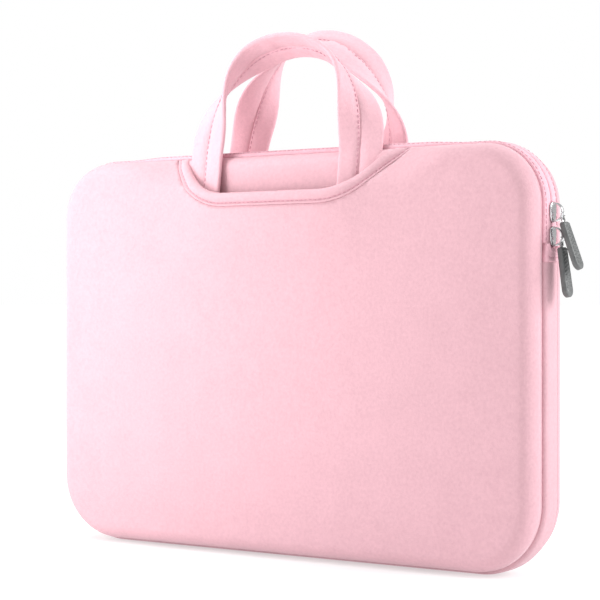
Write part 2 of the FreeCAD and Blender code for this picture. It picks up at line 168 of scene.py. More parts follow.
def rounded_square(count, power, offset=0.0):
    """Points round a square with soft corners, from -1 to 1; a lower power is squarer."""
    points = []
    for k in range(count):
        turn = 2 * math.pi * (k + offset) / count
        across = math.copysign(abs(math.cos(turn)) ** power, math.cos(turn))
        upward = math.copysign(abs(math.sin(turn)) ** power, math.sin(turn))
        points.append((across, upward))
    return points


def ripple(points, size, seed):
    """Soft noise at each point, about -1 to 1, with bumps about size apart."""
    shift = Vector((seed * 17.3, seed * 5.1, seed * 9.7))
    return np.array([noise.noise(Vector(p) / size + shift) for p in points])


# ---------------------------------------------------------------- the sleeve's outline

def seam_stations(step):
    """Points (x, z) of the seam outline and their outward normals, counter-clockwise from the
    middle of the bottom, about step apart."""
    corners = [
        (HALF_WIDTH - BOTTOM_ROUND, SEAM_LOW + BOTTOM_ROUND, BOTTOM_ROUND, -90),
        (HALF_WIDTH - TOP_ROUND, SEAM_HIGH - TOP_ROUND, TOP_ROUND, 0),
        (TOP_ROUND - HALF_WIDTH, SEAM_HIGH - TOP_ROUND, TOP_ROUND, 90),
        (BOTTOM_ROUND - HALF_WIDTH, SEAM_LOW + BOTTOM_ROUND, BOTTOM_ROUND, 180),
    ]
    points = [(0.0, SEAM_LOW)]
    normals = [(0.0, -1.0)]

    def run_to(target):
        start = np.array(points[-1])
        target = np.array(target)
        count = max(1, round(np.linalg.norm(target - start) / step))
        for k in range(1, count + 1):
            points.append(tuple(start + (target - start) * k / count))
            normals.append(normals[-1])

    for x, z, radius, start in corners:
        turn = math.radians(start)
        run_to((x + radius * math.cos(turn), z + radius * math.sin(turn)))
        count = round(radius * math.pi / 2 / step) * 2
        for k in range(1, count + 1):
            turn = math.radians(start + 90 * k / count)
            points.append((x + radius * math.cos(turn), z + radius * math.sin(turn)))
            normals.append((math.cos(turn), math.sin(turn)))
    run_to((0.0, SEAM_LOW))
    return np.array(points[:-1]), np.array(normals[:-1])


def inset_from_seam(x, z):
    """How far inside the seam outline a point is."""
    middle = (SEAM_LOW + SEAM_HIGH) / 2
    half_height = (SEAM_HIGH - SEAM_LOW) / 2
    radius = np.where(z > middle, TOP_ROUND, BOTTOM_ROUND)
    across = np.abs(x) - HALF_WIDTH + radius
    upward = np.abs(z - middle) - half_height + radius
    outside = np.hypot(np.maximum(across, 0), np.maximum(upward, 0))
    return radius - outside - np.minimum(np.maximum(across, upward), 0)


def flare(x, z):
    """How far the mouth's sides sweep outward as they climb to the top edge."""
    most = np.where(np.asarray(x) > 0, NOTCH_FLARE_RIGHT, NOTCH_FLARE_LEFT)
    return most * smoothstep(SEAM_HIGH - FLARE_HEIGHT, SEAM_HIGH, z) ** 1.3


def outside_notch(x, z):
    """How far a point is from the scooped mouth's outer line, negative inside the mouth."""
    across = np.maximum(np.abs(x) - NOTCH_FLAT - flare(x, z), 0)
    return np.hypot(across, z - NOTCH_CENTRE) - NOTCH_ROUND


def notch_line(radius, step):
    """Points of the mouth from its right top end to its left top end, down to the seam's edge."""
    top = math.degrees(math.asin((SEAM_HIGH - NOTCH_CENTRE) / radius))
    count = round(radius * math.radians(90 + top) / step)
    turns = np.radians(np.linspace(top, -90, count + 1))
    right = [(NOTCH_FLAT + radius * math.cos(a), NOTCH_CENTRE + radius * math.sin(a)) for a in turns]
    flat_count = round(2 * NOTCH_FLAT / step)
    flat = [(x, NOTCH_CENTRE - radius) for x in np.linspace(NOTCH_FLAT, -NOTCH_FLAT, flat_count + 1)]
    left = [(-x, z) for x, z in reversed(right)]
    line = np.array(right + flat[1:-1] + left)
    line[:, 0] += np.sign(line[:, 0]) * flare(line[:, 0], line[:, 1])
    return line


# ---------------------------------------------------------------- the outer panel's surface

ROLL = 9.0           # radius of the rolled rim, across the face
ROLL_START = 1.3     # how far the rim is from the seam plane
PANEL_THICK = 1.9
PANEL_CROWN = 1.6    # how far the padding swells in the middle of the face
CROWN_CENTRE = 120.0
CROWN_REACH = 128.0
GAPE_OUT = 6.0       # how far the mouth's edge stands forward
GAPE_CENTRE = 217.0
GAPE_REACH = 34.0
MOUTH_SLOPE = 0.62   # how steeply the panel leaves the seam beside the mouth
WAVE_HEIGHT = 0.45   # faint waves over the whole face
WAVE_SIZE = 55.0

SHELL_ROLL = 7.0
SHELL_START = 0.6
SHELL_THICK = 1.6
SHELL_INSET = 0.4
LAYER_GAP = 0.4      # room between the panel and the shell that it presses down


def mouth_gape(x, z):
    """How far the panel stands forward below the mouth, pushed by the handle's legs."""
    below = np.exp(-(((z - GAPE_CENTRE) / GAPE_REACH) ** 2))
    return GAPE_OUT * below * (1 - smoothstep(28, 92, np.abs(x)))


def panel_depth(x, z):
    """Distance of the outer panel's face from the mid plane."""
    inset = np.clip(inset_from_seam(x, z), 0, None)
    rise = PANEL_DEPTH - SEAM_DEPTH - ROLL_START
    rolled = rise * np.sqrt(1 - (1 - np.clip(inset, 0, ROLL) / ROLL) ** 2)
    ramp = np.minimum(rise, MOUTH_SLOPE * inset)
    near_mouth = 1 - smoothstep(-6, 34, np.abs(outside_notch(x, z)))
    near_mouth = near_mouth * smoothstep(205, 232, z)
    rolled = rolled * (1 - near_mouth) + ramp * near_mouth
    upright = 1 - ((z - CROWN_CENTRE) / CROWN_REACH) ** 2
    crown = PANEL_CROWN * (1 - (x / HALF_WIDTH) ** 2) * upright
    soft = smoothstep(0, 30, inset)
    return SEAM_DEPTH + ROLL_START + rolled + crown * soft + mouth_gape(x, z) * soft


def shell_depth(x, z):
    """Distance of the inner shell's face from the mid plane, pressed down under the panel."""
    inset = np.clip(inset_from_seam(x, z) - SHELL_INSET, 0, SHELL_ROLL)
    rise = SHELL_DEPTH - SEAM_DEPTH - SHELL_START
    free = SEAM_DEPTH + SHELL_START + rise * np.sqrt(1 - (1 - inset / SHELL_ROLL) ** 2)
    pressed = np.minimum(free, panel_depth(x, z) - PANEL_THICK - LAYER_GAP)
    covered = smoothstep(-8, -2, outside_notch(x, z)) * smoothstep(205, 220, z)
    return free + (pressed - free) * covered


TRIANGLE_HEIGHT = 0.87      # of a triangle with equal sides, as a share of one side


def anywhere(x, z):
    """Allows every point of a layer without a mouth."""
    return np.full(np.shape(x), True)


def fill_outline(boundary, rim_step, spacing, insets, allowed):
    """Triangles inside a closed outline, with rows of points that follow the seam at insets."""
    stations, normals = seam_stations(rim_step)
    inner = []
    for inset in insets:
        ring = stations - normals * inset
        inner.extend(ring[allowed(ring[:, 0], ring[:, 1])].tolist())
    rows = int((SEAM_HIGH - SEAM_LOW) / (spacing * TRIANGLE_HEIGHT))
    columns = int(2 * HALF_WIDTH / spacing)
    for row in range(1, rows):
        z = SEAM_LOW + (SEAM_HIGH - SEAM_LOW) * row / rows
        for column in range(columns):
            x = -HALF_WIDTH + (column + 0.5 * (row % 2)) * spacing
            if inset_from_seam(x, z) > insets[-1] + spacing * 0.6 and allowed(x, z):
                inner.append((x, z))
    count = len(boundary)
    vertices = [Vector(p) for p in boundary.tolist() + inner]
    edges = [(k, (k + 1) % count) for k in range(count)]
    flat, _, faces, _, _, _ = geometry.delaunay_2d_cdt(vertices, edges, [], 1, 1e-5)
    return np.array([tuple(v) for v in flat]), [tuple(f) for f in faces]


# rows of points round the rolled rim, close together where it turns most
ROLL_ANGLES = (16, 27, 38, 49, 60, 70, 80, 90)
ROLL_INSETS = [ROLL * (1 - math.cos(math.radians(angle))) for angle in ROLL_ANGLES]
ROLL_INSETS.append(ROLL + 2.5)


def padded_sheet(name, flat, faces, depth, side, thick, material):
    """A sheet of even thickness whose outer face lies at the given depths."""
    points = np.column_stack([flat[:, 0], side * depth, flat[:, 1]])
    order = faces if side == FRONT else [tuple(reversed(f)) for f in faces]
    piece = add_mesh(name, points, order, material)
    solid = piece.modifiers.new("thickness", "SOLIDIFY")
    solid.thickness = thick * MM
    solid.offset = -1
    apply_modifiers(piece)
    piece.data.polygons.foreach_set("use_smooth", [True] * len(piece.data.polygons))
    return piece


def composite_outline():
    """The outer panel's edge: the seam outline with the mouth cut into its top."""
    stations, _ = seam_stations(RIM_STEP)
    mouth = notch_line(NOTCH_ROUND, 1.6)
    outer = [p for p in stations if not (p[1] > 240 and abs(p[0]) < mouth[0][0] + 1.0)]
    first_left = next(k for k, p in enumerate(outer) if p[0] < 0 and p[1] > 240)
    return np.array(outer[:first_left] + [tuple(p) for p in mouth] + outer[first_left:])


def outer_panel(name, side, material):
    """The padded knit panel of the pocket, open at the scooped mouth."""
    def allowed(x, z):
        return (outside_notch(x, z) > 1.0) | (z < 200)
    flat, faces = fill_outline(composite_outline(), RIM_STEP, 3.0, ROLL_INSETS, allowed)
    depth = panel_depth(flat[:, 0], flat[:, 1])
    waves = ripple([(x, 0, z) for x, z in flat], WAVE_SIZE, 1 + side)
    calm = smoothstep(6, 40, inset_from_seam(flat[:, 0], flat[:, 1]))
    depth = depth + WAVE_HEIGHT * waves * calm
    return padded_sheet(name, flat, faces, depth, side, PANEL_THICK, material)


def inner_shell(name, side, material):
    """The knit shell behind the pocket, which shows inside the mouth."""
    step = 3.0
    stations, normals = seam_stations(step)
    boundary = stations - normals * SHELL_INSET
    flat, faces = fill_outline(boundary, step, 4.0, [1.0, 2.2, 4.2, 7.4], anywhere)
    depth = shell_depth(flat[:, 0], flat[:, 1])
    return padded_sheet(name, flat, faces, depth, side, SHELL_THICK, material)


def flat_layer(name, side, near, far, inset, material):
    """A plain soft layer between two depths."""
    step = 4.0
    stations, normals = seam_stations(step)
    boundary = stations - normals * inset
    flat, faces = fill_outline(boundary, step, 2 * step, [inset + step], anywhere)
    depth = np.full(len(flat), far)
    return padded_sheet(name, flat, faces, depth, side, far - near, material)


# ---------------------------------------------------------------- swept trims

def along(points):
    """Unit direction of travel at each point of an open line."""
    points = np.asarray(points, float)
    steps = np.gradient(points, axis=0)
    return steps / np.linalg.norm(steps, axis=1)[:, None]


def capsule(centre, direction, up, length, radius):
    """Points and faces of one small thread stitch."""
    across = np.cross(direction, up)
    rings = [(-0.5, 0.25), (-0.34, 0.85), (0.0, 1.0), (0.34, 0.85), (0.5, 0.25)]   # place, width
    sides = 6
    points = []
    for place, width in rings:
        for k in range(sides):
            turn = 2 * math.pi * k / sides
            spread = across * math.cos(turn) + up * math.sin(turn)
            points.append(centre + direction * place * length + spread * radius * width)
    faces = grid_faces(len(rings), sides, close_columns=True)
    faces.append(tuple(reversed(range(sides))))
    faces.append(tuple((len(rings) - 1) * sides + k for k in range(sides)))
    return points, faces


def many_capsules(name, places, length, radius, material):
    """One mesh of capsules at (centre, direction, up) places."""
    points, faces = [], []
    for centre, direction, up in places:
        direction = direction / np.linalg.norm(direction)
        up = up - direction * np.dot(up, direction)
        up = up / np.linalg.norm(up)
        start = len(points)
        more, skins = capsule(np.asarray(centre, float), direction, up, length, radius)
        points.extend(more)
        faces.extend([tuple(start + k for k in skin) for skin in skins])
    return face_outward(add_mesh(name, points, faces, material))


def spaced(points, ups, pitch):
    """Places about pitch apart on a line, with the direction and the up vector of each."""
    points = np.asarray(points, float)
    gaps = np.linalg.norm(np.diff(points, axis=0), axis=1)
    reach = np.concatenate([[0], np.cumsum(gaps)])
    wanted = np.arange(pitch / 2, reach[-1], pitch)
    centre = np.column_stack([np.interp(wanted, reach, points[:, k]) for k in range(3)])
    up = np.column_stack([np.interp(wanted, reach, np.asarray(ups)[:, k]) for k in range(3)])
    return list(zip(centre, along(centre), up))


# the binding's section: across from the welt line, and out from the panel's face
BINDING_SECTION = [
    (0.0, -0.7), (0.1, 0.3), (0.5, 0.8), (1.0, 0.75), (1.5, 0.1), (1.9, -0.15), (2.4, 0.35),
    (3.2, 1.3), (4.3, 1.95), (5.6, 2.15), (6.9, 1.85), (7.9, 1.0), (8.4, -0.2), (8.1, -1.5),
    (7.0, -2.4), (5.0, -2.6), (2.6, -2.4), (0.8, -2.0), (0.1, -1.5),
]
BINDING_GROOVE = 1.95       # where the stitches run, across from the welt line
END_SINK = 0.9              # how deep the binding dives at the mouth's two ends


def binding_line(step):
    """Centres, and directions from them, of stations along the mouth."""
    top = math.asin((SEAM_HIGH - NOTCH_CENTRE) / NOTCH_ROUND)
    count = round(NOTCH_ROUND * (math.pi / 2 + top) / step)
    turns = np.linspace(top, -math.pi / 2, count + 1)
    right = [((NOTCH_FLAT, NOTCH_CENTRE), (math.cos(turn), math.sin(turn))) for turn in turns]
    flat = [((x, NOTCH_CENTRE), (0.0, -1.0))
            for x in np.linspace(NOTCH_FLAT, -NOTCH_FLAT, round(2 * NOTCH_FLAT / step) + 1)]
    left = [((-c[0], c[1]), (-d[0], d[1])) for c, d in reversed(right)]
    line = right + flat[1:-1] + left
    centres = np.array([c for c, _ in line])
    directions = np.array([d for _, d in line])
    height = centres[:, 1] + NOTCH_ROUND * directions[:, 1]
    centres[:, 0] += np.sign(centres[:, 0]) * flare(centres[:, 0], height)
    return centres, directions


def binding_points(side, across, out, step=1.6):
    """The line of points at one place of the binding's section."""
    centres, directions = binding_line(step)
    place = centres + directions * (NOTCH_ROUND - across)
    place[:, 1] = np.minimum(place[:, 1], SEAM_HIGH - 0.2)
    depth = panel_depth(place[:, 0], place[:, 1])
    middle = centres + directions * NOTCH_ROUND
    sunk = 1 - smoothstep(-1, 9, inset_from_seam(middle[:, 0], middle[:, 1]))
    out = out * (1 - 0.75 * sunk) - END_SINK * sunk
    return np.column_stack([place[:, 0], side * (depth + out), place[:, 1]])


def pocket_binding(name, side, material):
    rows = [binding_points(side, across, out) for across, out in BINDING_SECTION]
    return tube(name, np.stack(rows, axis=1), material)


def binding_stitches(name, side, material):
    line = binding_points(side, BINDING_GROOVE, 0.1)
    up = np.tile([0.0, side, 0.0], (len(line), 1))
    return many_capsules(name, spaced(line, up, 3.3), 2.3, 0.3, material)


# ---------------------------------------------------------------- gusset and zip

LEVEL_FROM = 96.0       # the zip's crown fades out between these distances from the middle,
LEVEL_TO = 128.0        # which leaves the slider room at the end of its travel


def crown_rise(stations, normals, crown):
    """How much further the zip stands out along the top than at the sides."""
    inside = 1 - smoothstep(LEVEL_FROM, LEVEL_TO, np.abs(stations[:, 0]))
    return 1 + crown * inside * np.clip(normals[:, 1], 0, 1) ** 2


def rim_sweep(name, section, stations, normals, material, crown=0.0):
    """Sweep a section of (y, out) points along part of the seam outline."""
    rise = crown_rise(stations, normals, crown)
    rows = []
    for y, out in section:
        shift = out * np.where(out > 0, rise, 1.0)
        rows.append(np.column_stack([
            stations[:, 0] + normals[:, 0] * shift,
            np.full(len(stations), y),
            stations[:, 1] + normals[:, 1] * shift,
        ]))
    return tube(name, np.stack(rows, axis=1), material)


def part_of_rim(step, low=None, high=None):
    """Stations of the outline below a height, or above one, in order."""
    stations, normals = seam_stations(step)
    if high is not None:
        split = int(np.argmax(stations[:, 1] > high))
        back = len(stations) - int(np.argmax(stations[::-1, 1] > high))
        stations = np.vstack([stations[back:], stations[:split]])
        normals = np.vstack([normals[back:], normals[:split]])
        ends = ((-HALF_WIDTH, high), (HALF_WIDTH, high))
    else:
        inside = stations[:, 1] > low
        stations, normals = stations[inside], normals[inside]
        ends = ((HALF_WIDTH, low), (-HALF_WIDTH, low))
    stations = np.vstack([ends[0], stations, ends[1]])
    normals = np.vstack([normals[0], normals, normals[-1]])
    return stations, normals


# sections are (y, out) points, out from the seam outline
GUSSET_HALF = [(8.0, -1.0), (7.8, -0.1), (7.3, 0.9), (6.4, 1.6), (5.0, 1.95), (2.6, 2.0)]
GUSSET_SECTION = (
    GUSSET_HALF + [(0.0, 2.0)] + [(-y, out) for y, out in reversed(GUSSET_HALF)]
    + [(-7.2, -1.6), (0.0, -0.7), (7.2, -1.6)]
)


def gusset_band(name, material):
    stations, normals = part_of_rim(2.5, high=node_box("gusset_band")[1][2])
    return rim_sweep(name, GUSSET_SECTION, stations, normals, material)


TAPE_SECTION = [
    (7.95, -1.0), (7.7, 0.3), (7.1, 1.0), (6.5, 1.1), (6.1, 1.1), (5.5, 1.4), (4.2, 1.6),
    (2.6, 1.6), (1.3, 1.45), (0.6, 1.1), (0.25, 0.5), (0.3, -0.4), (1.6, -0.5), (4.5, 0.2),
    (6.8, -0.3), (7.4, -1.3),
]
TAPE_STITCH = 6.3
TOP_CROWN = 0.9


def zip_half(name, side, material):
    stations, normals = part_of_rim(2.5, low=node_box("rear_zip_tape")[0][2])
    section = [(side * y, out) for y, out in TAPE_SECTION]
    return rim_sweep(name, section, stations, normals, material, crown=TOP_CROWN)


def rim_line(y, out, low, crown=0.0):
    """A line along the upper rim at one place of the section, and its outward normals."""
    stations, normals = part_of_rim(1.5, low=low)
    shift = out * crown_rise(stations, normals, crown)
    line = np.column_stack([
        stations[:, 0] + normals[:, 0] * shift,
        np.full(len(stations), y),
        stations[:, 1] + normals[:, 1] * shift,
    ])
    return line, np.column_stack([normals[:, 0], np.zeros(len(normals)), normals[:, 1]])


def zip_stitches(name, side, material):
    low = tab_high[2] + 3
    line, up = rim_line(side * TAPE_STITCH, 1.2, low, TOP_CROWN)
    return many_capsules(name, spaced(line, up, 3.2), 2.2, 0.28, material)


COIL_PITCH = 1.35
COIL_SHIFT = 0.34       # moves the two halves' turns apart, so that they mesh


def zip_teeth(name, side, material):
    """The coil's turns, which reach across the slit under the two tapes."""
    low = tab_high[2] + 0.6
    line, up = rim_line(side * 1.0, -0.35, low)
    across = np.array([0.0, 1.0, 0.0])
    shift = COIL_SHIFT if side == FRONT else -COIL_SHIFT
    places = []
    for centre, direction, outward in spaced(line, up, COIL_PITCH):
        places.append((centre + direction * shift, across, outward))
    return many_capsules(name, places, 2.5, 0.42, material)


# a tab's section, from its top end down: height from its base, and out from the seam
TAB_PROFILE = [
    (-2.2, 2.15), (-1.9, 2.75), (-1.2, 2.95), (0.5, 2.9), (1.4, 2.55), (2.4, 2.9), (4.5, 3.05),
    (6.2, 3.0), (6.9, 3.5), (7.6, 3.55), (8.2, 3.15), (8.7, 3.55), (9.6, 3.5), (10.2, 2.9),
    (10.4, 1.6), (9.4, 0.2), (4.0, -0.3), (-1.6, -0.2), (-2.2, 0.8),
]
TAB_BOTTOM = tab_low[2] + 0.9
TAB_HALF_WIDTH = 7.9
TAB_RISE_LOW = 2.2          # the profile starts this far below zero
TAB_RISE_ALL = 12.6         # and spans this much


def tab_height(rise, y):
    """The height of a place on the tab's profile."""
    return TAB_BOTTOM + rise / TAB_RISE_ALL * tab_reach(y)


def tab_reach(y):
    """The tab's height, which is less in the middle, where the slider parks."""
    return 8.0 + 2.6 * smoothstep(4.3, 5.6, abs(y))


def zip_end_tab(name, sign, material):
    """The folded patch sewn over the zip's end."""
    rows = []
    for share in np.linspace(-1, 1, 21):
        y = TAB_HALF_WIDTH * math.sin(share * math.pi / 2)
        drop = 1 - math.sqrt(max(0.0, 1 - abs(y / (TAB_HALF_WIDTH + 0.35)) ** 5))
        rows.append([
            (sign * (HALF_WIDTH + max(out - 2.6 * drop, -1.2)), y,
             tab_height(rise + TAB_RISE_LOW, y))
            for rise, out in TAB_PROFILE
        ])
    return tube(name, rows, material)


def tab_stitches(name, sign, material):
    out = HALF_WIDTH + 2.62
    line = np.array([(sign * out, y, tab_height(3.6, y))
                     for y in np.linspace(-6.4, 6.4, 17)])
    up = np.tile([float(sign), 0.0, 0.0], (len(line), 1))
    return many_capsules(name, spaced(line, up, 2.6), 1.8, 0.26, material)


# ---------------------------------------------------------------- handles

# a quarter of the strap's section, from its edge to the seam groove in its middle
STRAP_EDGE = [(1.0, 0.0), (0.985, 0.42), (0.95, 0.8), (0.9, 0.97), (0.8, 1.0), (0.45, 1.0),
              (0.06, 0.98), (0.025, 0.62), (0.0, 0.5)]


def strap_section():
    """The strap's whole section, as (across, through) points from -1 to 1."""
    profile = []
    for sign, face in ((1, 1), (-1, 1), (-1, -1), (1, -1)):
        edge = STRAP_EDGE if sign * face > 0 else list(reversed(STRAP_EDGE))
        for a, b in edge:
            if (sign * a, face * b) not in profile:
                profile.append((sign * a, face * b))
    return profile


FOOT_HEIGHT = 222.0
FOOT_TWIST = 10.0           # degrees, at the legs
STITCH_PLACE = 0.085        # how far the stitches are from the strap's middle, of half its width
WAVES = (0.55, 17.0)        # height and size of the strap's soft waves
GATHERS = (0.4, 7.0)        # and of its finer gathers

# height: of the arch's centre line over the pivot. spacing: half the distance of the legs.
# power: 2 is an ellipse, more is squarer. twist: where it starts and ends along half the arch,
# and its degrees at the top. lag: how much later the left half twists. lean: to the left, at
# the top. shift: to the right, all over.
HANDLE_SHAPES = {
    FRONT: dict(height=68.5, spacing=57.5, power=2.1, twist=(0.0, 0.75, 114), lag=0.08,
                lean=-0.5, shift=0.0),
    REAR: dict(height=76.0, spacing=54.8, power=2.0, twist=(0.0, 0.75, 122), lag=0.06,
               lean=9.0, shift=3.0),
}


class Handle:
    """One carry handle: a sewn knit strap whose feet stand in the pocket behind the binding."""

    def __init__(self, side):
        self.side = side
        self.shape = HANDLE_SHAPES[side]
        self.path = self.trace()

    def line_depth(self, z):
        """Where the strap's centre line runs: the front one leans back, and the rear one curves
        out to the rear."""
        if self.side == FRONT:
            return -17.5 + 0.129 * (z - FOOT_HEIGHT)
        return 16 + 15.5 * (1 - np.exp(-np.clip(z - 236, 0, None) / 32.0))

    def right_half(self):
        """Points (x, z) of the right leg and half the arch, not evenly spaced."""
        spacing, power = self.shape["spacing"], 2 / self.shape["power"]
        points = [(spacing, z) for z in np.arange(FOOT_HEIGHT, PIVOT_HEIGHT, 2.0)]
        for turn in np.linspace(0, math.pi / 2, 90)[:-1]:
            points.append((spacing * math.cos(turn) ** power,
                           PIVOT_HEIGHT + self.shape["height"] * math.sin(turn) ** power))
        points.append((0.0, PIVOT_HEIGHT + self.shape["height"]))
        return np.array(points)

    def trace(self):
        """Centre points, evenly spaced, with each one's share of the way up the arch."""
        points = self.right_half()
        reach = np.concatenate([[0], np.cumsum(np.linalg.norm(np.diff(points, axis=0), axis=1))])
        count = round(reach[-1] / 1.6)
        wanted = np.linspace(0, reach[-1], count + 1)
        half = np.column_stack([np.interp(wanted, reach, points[:, k]) for k in range(2)])
        leg = PIVOT_HEIGHT - FOOT_HEIGHT
        arch_reach = np.clip((wanted - leg) / (reach[-1] - leg), 0, 1)
        mirrored = half[:-1][::-1] * (-1, 1)
        self.share = np.concatenate([arch_reach, arch_reach[:-1][::-1]])
        self.sign = np.concatenate([np.ones(len(half)), -np.ones(len(mirrored))])
        flat = np.vstack([half, mirrored])
        climb = np.clip((flat[:, 1] - PIVOT_HEIGHT) / self.shape["height"], 0, 1)
        aside = self.shape["shift"] - self.shape["lean"] * climb ** 1.5
        return np.column_stack([flat[:, 0] + aside, self.line_depth(flat[:, 1]), flat[:, 1]])

    def frame(self):
        """Run, across and through directions at each station."""
        run = along(self.path)
        start, end, most = self.shape["twist"]
        turned = smoothstep(start, end, self.share + self.shape["lag"] * self.sign)
        twist = np.radians(FOOT_TWIST + (most - FOOT_TWIST) * turned)
        depthward = np.array([0.0, -float(self.side), 0.0])
        outward = np.column_stack([run[:, 2], np.zeros(len(run)), -run[:, 0]])
        outward /= np.linalg.norm(outward, axis=1)[:, None]
        across = outward * np.cos(twist)[:, None] + depthward * np.sin(twist)[:, None]
        across -= run * np.sum(across * run, axis=1)[:, None]
        across /= np.linalg.norm(across, axis=1)[:, None]
        through = np.cross(run, across)
        return run, across, through

    def surface(self, place, face):
        """The line at a place across the strap (-1 to 1) on one face (1 or -1)."""
        _, across, through = self.frame()
        up = through * face
        return self.path + across * place * STRAP_WIDTH / 2 + up * STRAP_THICK / 2, up

    def strap(self, name, material):
        _, across, through = self.frame()
        section = strap_section()
        rows = []
        for a, b in section:
            base = self.path + across * a * STRAP_WIDTH / 2
            lift = through * (b * STRAP_THICK / 2)
            rows.append(base + lift)
        points = np.stack(rows, axis=1)
        flat = points.reshape(-1, 3)
        wave_height, wave_size = WAVES
        fine_height, fine_size = GATHERS
        waves = ripple(flat, wave_size, 3 + self.side).reshape(points.shape[:2])
        fine = ripple(flat * (1.6, 1.0, 1.0), fine_size, 5 + self.side).reshape(points.shape[:2])
        gather = (0.5 + 1.3 * np.exp(-((self.share - 0.85) / 0.25) ** 2))[:, None]
        flatness = np.array([1 - abs(a) ** 6 for a, _ in section])[None, :]
        lift = (wave_height * waves + fine_height * fine) * gather * flatness
        return tube(name, points + through[:, None, :] * lift[..., None], material)

    def stitches(self, name, material):
        places = []
        for face in (1, -1):
            line, up = self.surface(STITCH_PLACE * face, face)
            places.extend(spaced(line, up, 3.4))
        return many_capsules(name, places, 2.3, 0.32, material)


# ---------------------------------------------------------------- zip sliders and pulls

def slider_plate(name, low, high, material):
    """The slider's outer plate, with a crowned face and a drawn-in lower end."""
    middle = (low[2] + high[2]) / 2
    half_length = (high[2] - low[2]) / 2
    half_width = (high[1] - low[1]) / 2
    back = high[0] - 1.5
    rows = []
    for share in np.sin(np.linspace(-1, 1, 27) * math.pi / 2):
        bulge = (1 - abs(share) ** 3.2) ** 0.5
        half = max(0.25, half_width * bulge * (0.86 + 0.14 * share))
        ring = []
        for across, upward in rounded_square(28, 0.55):
            crown = 0.45 * (1 - across * across)
            ring.append((back + 0.55 + 0.55 * upward + (crown if upward > 0 else 0),
                         across * half, middle + share * half_length))
        rows.append(ring)
    return tube(name, rows, material)


def slider_neck(name, low, high, material):
    """The post between the chains and the wing that runs inside the zip."""
    middle = (low[2] + high[2]) / 2
    rows = []
    wing = [(low[0], 3.9, 4.6), (low[0] + 0.15, 4.15, 4.8), (low[0] + 1.3, 4.15, 4.8),
            (low[0] + 1.5, 3.8, 4.5)]
    post = [(low[0] + 1.8, 1.0, 1.7), (high[0] - 1.4, 0.9, 1.5)]
    for x, half_y, half_z in wing + post:
        rows.append([(x, across * half_y, middle + upward * half_z)
                     for across, upward in rounded_square(24, 0.5)])
    return tube(name, rows, material)


def slider_bridge(name, low, high, material):
    """The thin arch on the plate that the link hangs from, wider at its two feet."""
    middle = (low[2] + high[2]) / 2
    radius = (high[2] - low[2]) / 2 - 0.5
    foot = low[0] - 0.25
    rows = []
    for turn in np.linspace(0, math.pi, 41):
        centre = np.array([foot + (high[0] - 0.5 - foot) * math.sin(turn), 0,
                           middle + radius * math.cos(turn)])
        outward = np.array([math.sin(turn), 0, math.cos(turn)])
        half = 1.15 + 0.55 * abs(math.cos(turn)) ** 3
        rows.append([centre + outward * 0.5 * lift + np.array([0, half * across, 0])
                     for across, lift in rounded_square(16, 0.7)])
    return tube(name, rows, material)


LINK_HALF_WIDTH = 3.2       # of the wire's centre line
LINK_LENGTH = 9.0
LINK_BEND = 1.9
WIRE_RADIUS = 0.65

GRIP_START = 6.3            # below the pivot
GRIP_LENGTH = 28.4
GRIP_END = GRIP_START + GRIP_LENGTH
GRIP_TOP_HALF = 3.85        # half widths at its top and its bottom
GRIP_LOW_HALF = 4.45
GRIP_THICK = 1.95           # half its thickness
RIB_PITCH = 2.1
PANEL_CUT = 0.62            # depth of the sunk panel
RIB_HEIGHT = 0.5


